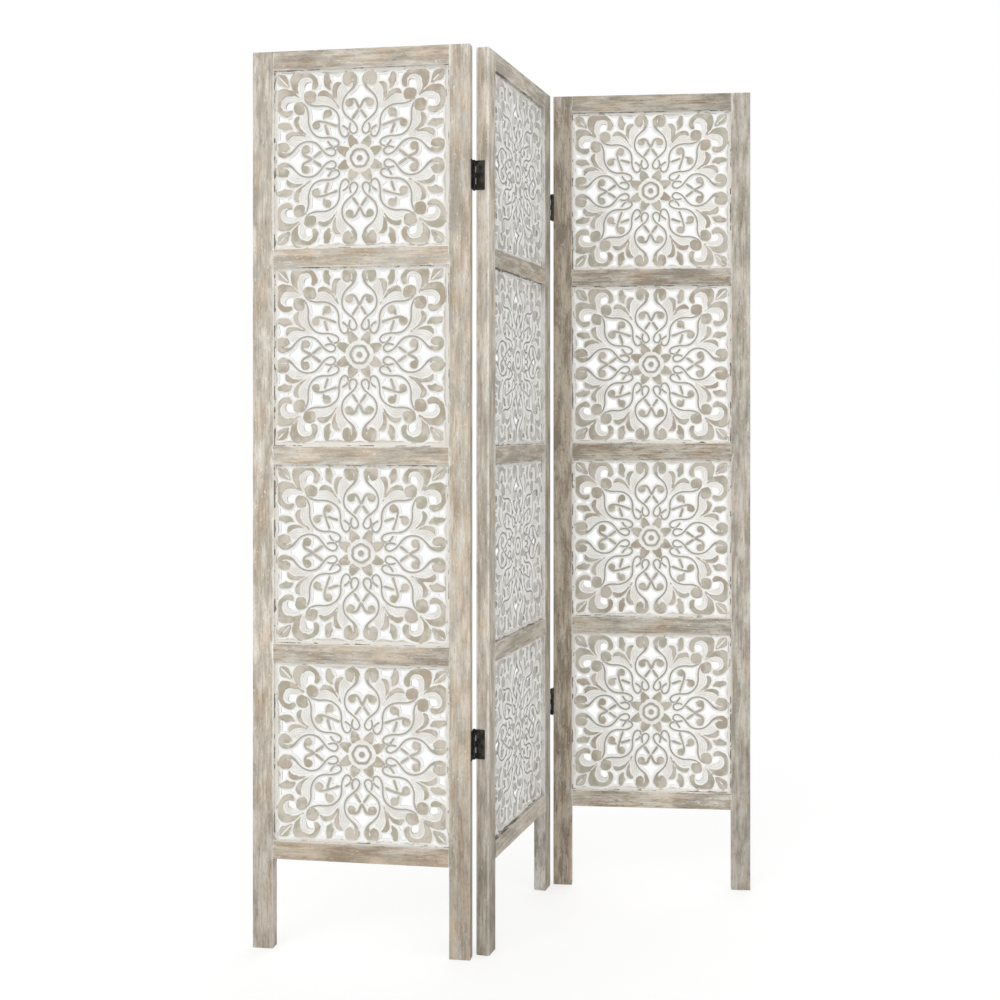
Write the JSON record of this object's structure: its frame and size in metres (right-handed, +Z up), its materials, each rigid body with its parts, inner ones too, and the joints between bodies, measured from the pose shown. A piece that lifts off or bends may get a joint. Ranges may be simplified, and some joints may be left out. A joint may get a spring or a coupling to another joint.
{
  "type": "folding screen",
  "caption": "Free-standing folding screen: hinged wooden leaves, each a plain frame around square pierced panels carved with symmetrical scrollwork",
  "frame": {"origin": "on the floor, in the middle of the box around the screen as it stands half folded", "axes": "+Z up; X across the screen, from the left leaf to the right one; +Y from the front to the back"},
  "size_m": [1.0038, 0.4504, 1.7],
  "materials": {
    "frame_wood": "whitewashed and weathered, matt",
    "carved_panel": "white paint in the carving, rubbed back to khaki-grey on the flat tops",
    "dowel_wood": "bare beech",
    "hinge_metal": "dark bronze to black, satin",
    "hinge_screws": "black, satin"
  },
  "bodies": {
    "middle_leaf": {"middle_leaf_left_stile": "frame_wood", "middle_leaf_right_stile": "frame_wood", "middle_leaf_rail_1": "frame_wood", "middle_leaf_rail_2": "frame_wood", "middle_leaf_rail_3": "frame_wood", "middle_leaf_rail_4": "frame_wood", "middle_leaf_rail_5": "frame_wood", "middle_leaf_panel_1": "carved_panel", "middle_leaf_panel_2": "carved_panel", "middle_leaf_panel_3": "carved_panel", "middle_leaf_panel_4": "carved_panel", "middle_leaf_dowels": "dowel_wood", "left_fold_upper_hinge_middle_plate": "hinge_metal", "left_fold_upper_hinge_pin": "hinge_metal", "left_fold_lower_hinge_middle_plate": "hinge_metal", "left_fold_lower_hinge_pin": "hinge_metal", "middle_leaf_left_fold_screws": "hinge_screws", "right_fold_upper_hinge_middle_plate": "hinge_metal", "right_fold_upper_hinge_pin": "hinge_metal", "right_fold_lower_hinge_middle_plate": "hinge_metal", "right_fold_lower_hinge_pin": "hinge_metal", "middle_leaf_right_fold_screws": "hinge_screws"},
    "left_leaf": {"left_leaf_left_stile": "frame_wood", "left_leaf_right_stile": "frame_wood", "left_leaf_rail_1": "frame_wood", "left_leaf_rail_2": "frame_wood", "left_leaf_rail_3": "frame_wood", "left_leaf_rail_4": "frame_wood", "left_leaf_rail_5": "frame_wood", "left_leaf_panel_1": "carved_panel", "left_leaf_panel_2": "carved_panel", "left_leaf_panel_3": "carved_panel", "left_leaf_panel_4": "carved_panel", "left_leaf_dowels": "dowel_wood", "left_fold_upper_hinge_side_plate": "hinge_metal", "left_fold_lower_hinge_side_plate": "hinge_metal", "left_leaf_left_fold_screws": "hinge_screws"},
    "right_leaf": {"right_leaf_left_stile": "frame_wood", "right_leaf_right_stile": "frame_wood", "right_leaf_rail_1": "frame_wood", "right_leaf_rail_2": "frame_wood", "right_leaf_rail_3": "frame_wood", "right_leaf_rail_4": "frame_wood", "right_leaf_rail_5": "frame_wood", "right_leaf_panel_1": "carved_panel", "right_leaf_panel_2": "carved_panel", "right_leaf_panel_3": "carved_panel", "right_leaf_panel_4": "carved_panel", "right_leaf_dowels": "dowel_wood", "right_fold_upper_hinge_side_plate": "hinge_metal", "right_fold_lower_hinge_side_plate": "hinge_metal", "right_leaf_right_fold_screws": "hinge_screws"}
  },
  "joints": [
    {"name": "left_fold", "type": "hinge", "parent": "middle_leaf", "child": "left_leaf", "pos_m": [-0.08044, -0.19788, 0.85], "axis": [0, 0, 1], "range_deg": [-98.7, 81.3]},
    {"name": "right_fold", "type": "hinge", "parent": "middle_leaf", "child": "right_leaf", "pos_m": [0.07879, 0.19742, 0.85], "axis": [0, 0, 1], "range_deg": [-102.3, 77.7]}
  ]
}
